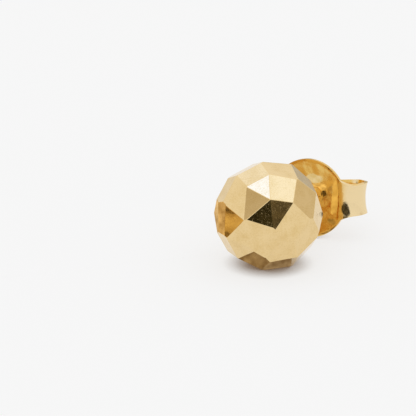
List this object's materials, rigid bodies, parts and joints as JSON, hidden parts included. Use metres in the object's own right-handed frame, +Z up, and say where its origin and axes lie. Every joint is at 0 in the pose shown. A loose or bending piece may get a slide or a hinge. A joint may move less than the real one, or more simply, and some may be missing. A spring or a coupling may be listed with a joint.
{
  "type": "ball stud earring",
  "caption": "Faceted hollow gold ball on a straight post, with a push-on butterfly back, lying on a flat surface.",
  "frame": {"origin": "on the resting surface, below the middle of the earring's bounding box", "axes": "+Y from the ball along the post, which dips about 7 degrees; +X to the right as seen from the front of the ball; +Z up"},
  "size_m": [0.007, 0.0138, 0.0068],
  "materials": {
    "polished_gold": "diamond-cut facets and post in polished pale yellow gold",
    "sheet_gold": "stamped yellow gold sheet, smooth with faint forming marks"
  },
  "bodies": {
    "stud": {"ball_stud": "polished_gold"},
    "back": {"butterfly_back": "sheet_gold"}
  },
  "joints": [
    {"name": "back_slide", "type": "slide", "parent": "stud", "child": "back", "axis": [0, 0.9928, -0.1197], "range_m": [-0.0025, 0.0045]}
  ]
}
